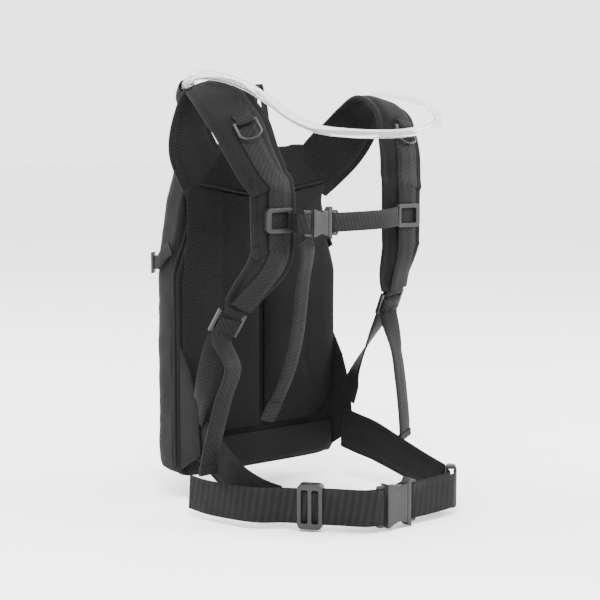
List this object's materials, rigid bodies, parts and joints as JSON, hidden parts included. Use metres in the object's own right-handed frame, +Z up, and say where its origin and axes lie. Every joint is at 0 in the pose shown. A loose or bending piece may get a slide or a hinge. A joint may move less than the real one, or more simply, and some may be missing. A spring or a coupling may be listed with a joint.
{
  "type": "hydration pack",
  "caption": "Slim hydration pack with padded shoulder straps, chest strap, waist belt, front pocket, inner bladder and a clear drinking tube.",
  "frame": {"origin": "bottom centre of the back panel's face that lies on the wearer's back", "axes": "+Z up towards the neck, +Y away from the wearer into the bag, +X towards the wearer's right as seen from the wearer's side of the pack"},
  "size_m": [0.331, 0.3156, 0.4822],
  "materials": {
    "bag_cloth": "coarse woven nylon, matt black",
    "spacer_mesh": "air mesh, black",
    "webbing": "ribbed nylon webbing, black",
    "foam": "closed-cell foam sheet in lining cloth",
    "buckle_plastic": "moulded acetal, satin black",
    "clear_hose": "clear flexible PVC or TPU",
    "bladder_film": "welded TPU film",
    "cap_plastic": "moulded polypropylene",
    "valve_rubber": "silicone"
  },
  "bodies": {
    "root": {"bag_shell": "bag_cloth", "bladder": "bladder_film", "bladder_neck": "cap_plastic", "hose_elbow": "cap_plastic", "inner_hose": "clear_hose", "front_pocket": "bag_cloth", "main_zipper_tape": "webbing", "pocket_zipper_tape": "webbing", "back_board": "foam", "back_pad_left": "spacer_mesh", "back_pad_right": "spacer_mesh", "lumbar_panel": "bag_cloth", "yoke": "spacer_mesh", "strap_left": "bag_cloth", "strap_right": "bag_cloth", "rail_left": "webbing", "rail_right": "webbing", "d_ring_tabs": "webbing", "lock_tabs": "webbing", "shoulder_webbing_left": "webbing", "shoulder_webbing_right": "webbing", "gusset_left": "bag_cloth", "gusset_right": "bag_cloth", "belt_wing_left": "bag_cloth", "belt_wing_right": "bag_cloth", "belt_webbing_left": "webbing", "belt_webbing_right": "webbing", "belt_slider": "buckle_plastic", "waist_buckle_socket": "buckle_plastic", "hose_sleeve": "bag_cloth", "hose_keeper": "webbing", "drink_tube": "clear_hose", "bite_valve_body": "buckle_plastic", "bite_valve_nipple": "valve_rubber", "side_straps": "webbing", "side_buckles": "buckle_plastic"},
    "main_zip_slider": {"main_zipper_slider": "buckle_plastic"},
    "main_zip_puller": {"main_zipper_puller": "webbing"},
    "pocket_zip_slider": {"pocket_zipper_slider": "buckle_plastic"},
    "pocket_zip_puller": {"pocket_zipper_puller": "webbing"},
    "filler_cap": {"bladder_cap": "cap_plastic"},
    "chest_strap": {"chest_slider_left": "buckle_plastic", "chest_slider_right": "buckle_plastic", "chest_webbing_left": "webbing", "chest_webbing_right": "webbing", "chest_buckle_socket": "buckle_plastic"},
    "chest_plug": {"chest_buckle_plug": "buckle_plastic"},
    "chest_prong_a": {"chest_prong_upper": "buckle_plastic"},
    "chest_prong_b": {"chest_prong_lower": "buckle_plastic"},
    "waist_plug": {"waist_buckle_plug": "buckle_plastic"},
    "waist_prong_a": {"waist_prong_upper": "buckle_plastic"},
    "waist_prong_b": {"waist_prong_lower": "buckle_plastic"},
    "triglide": {"belt_triglide": "buckle_plastic"},
    "ring_left": {"d_ring_left": "buckle_plastic"},
    "ring_right": {"d_ring_right": "buckle_plastic"},
    "lock_left": {"ladder_lock_left": "buckle_plastic"},
    "lock_right": {"ladder_lock_right": "buckle_plastic"},
    "haul_handle": {"haul_loop": "webbing"},
    "valve_lever": {"bite_valve_lever": "cap_plastic"}
  },
  "joints": [
    {"name": "main_zip_slide", "type": "slide", "parent": "root", "child": "main_zip_slider", "axis": [1, 0, 0], "range_m": [0, 0.105]},
    {"name": "main_puller_swing", "type": "hinge", "parent": "main_zip_slider", "child": "main_zip_puller", "pos_m": [-0.055, 0.0658, 0.323], "axis": [1, 0, 0], "range_deg": [0, 150]},
    {"name": "pocket_zip_slide", "type": "slide", "parent": "root", "child": "pocket_zip_slider", "axis": [1, 0, 0], "range_m": [0, 0.095]},
    {"name": "pocket_puller_swing", "type": "hinge", "parent": "pocket_zip_slider", "child": "pocket_zip_puller", "pos_m": [-0.05, 0.0838, 0.144], "axis": [1, 0, 0], "range_deg": [0, 150]},
    {"name": "filler_cap_turn", "type": "hinge", "parent": "root", "child": "filler_cap", "pos_m": [0, 0.042, 0.246], "axis": [0, 1, 0], "range_deg": [0, 270]},
    {"name": "chest_strap_height", "type": "slide", "parent": "root", "child": "chest_strap", "axis": [0, 0, 1], "range_m": [-0.012, 0.012]},
    {"name": "chest_buckle_release", "type": "slide", "parent": "chest_strap", "child": "chest_plug", "axis": [1, 0, 0], "range_m": [0, 0.024], "deforming": ["chest_webbing_right"]},
    {"name": "chest_prong_a_squeeze", "type": "hinge", "parent": "chest_plug", "child": "chest_prong_a", "pos_m": [-0.0466, -0.166, 0.3019], "axis": [0, -1, 0], "range_deg": [0, 6], "stiffness_Nm_per_rad": 0.02},
    {"name": "chest_prong_b_squeeze", "type": "hinge", "parent": "chest_plug", "child": "chest_prong_b", "pos_m": [-0.0466, -0.166, 0.2841], "axis": [0, 1, 0], "range_deg": [0, 6], "stiffness_Nm_per_rad": 0.02},
    {"name": "waist_buckle_release", "type": "slide", "parent": "root", "child": "waist_plug", "axis": [1, 0, 0], "range_m": [0, 0.024], "deforming": ["belt_webbing_right"]},
    {"name": "waist_prong_a_squeeze", "type": "hinge", "parent": "waist_plug", "child": "waist_prong_a", "pos_m": [0.0144, -0.224, 0.0139], "axis": [0, -1, 0], "range_deg": [0, 6], "stiffness_Nm_per_rad": 0.1},
    {"name": "waist_prong_b_squeeze", "type": "hinge", "parent": "waist_plug", "child": "waist_prong_b", "pos_m": [0.0144, -0.224, -0.0219], "axis": [0, 1, 0], "range_deg": [0, 6], "stiffness_Nm_per_rad": 0.1},
    {"name": "triglide_slide", "type": "slide", "parent": "root", "child": "triglide", "axis": [-0.6222, 0.7828, 0], "range_m": [-0.01, 0.01]},
    {"name": "left_ring_swing", "type": "hinge", "parent": "root", "child": "ring_left", "pos_m": [-0.11449, -0.11811, 0.39799], "axis": [-0.9287, 0.2106, -0.3052], "range_deg": [0, 110]},
    {"name": "right_ring_swing", "type": "hinge", "parent": "root", "child": "ring_right", "pos_m": [0.10859, -0.12388, 0.39416], "axis": [-0.9773, 0.057, 0.2042], "range_deg": [0, 110]},
    {"name": "left_lock_tilt", "type": "hinge", "parent": "root", "child": "lock_left", "pos_m": [-0.11811, -0.09957, 0.19681], "axis": [-0.9313, 0.2321, 0.2808], "range_deg": [0, 30], "deforming": ["shoulder_webbing_left"]},
    {"name": "right_lock_tilt", "type": "hinge", "parent": "root", "child": "lock_right", "pos_m": [0.11015, -0.10345, 0.2049], "axis": [-0.9859, 0.0385, -0.1626], "range_deg": [0, 30], "deforming": ["shoulder_webbing_right"]},
    {"name": "haul_loop_flop", "type": "hinge", "parent": "root", "child": "haul_handle", "pos_m": [0, 0.005, 0.3772], "axis": [1, 0, 0], "range_deg": [-35, 35], "stiffness_Nm_per_rad": 0.03},
    {"name": "valve_lever_turn", "type": "hinge", "parent": "root", "child": "valve_lever", "pos_m": [0.09867, 0.078, 0.22206], "axis": [0.9965, 0, -0.083], "range_deg": [0, 90]}
  ],
  "couplings": [
    {"joint": "chest_prong_b_squeeze", "follows": "chest_prong_a_squeeze", "ratio": 1},
    {"joint": "waist_prong_b_squeeze", "follows": "waist_prong_a_squeeze", "ratio": 1}
  ]
}
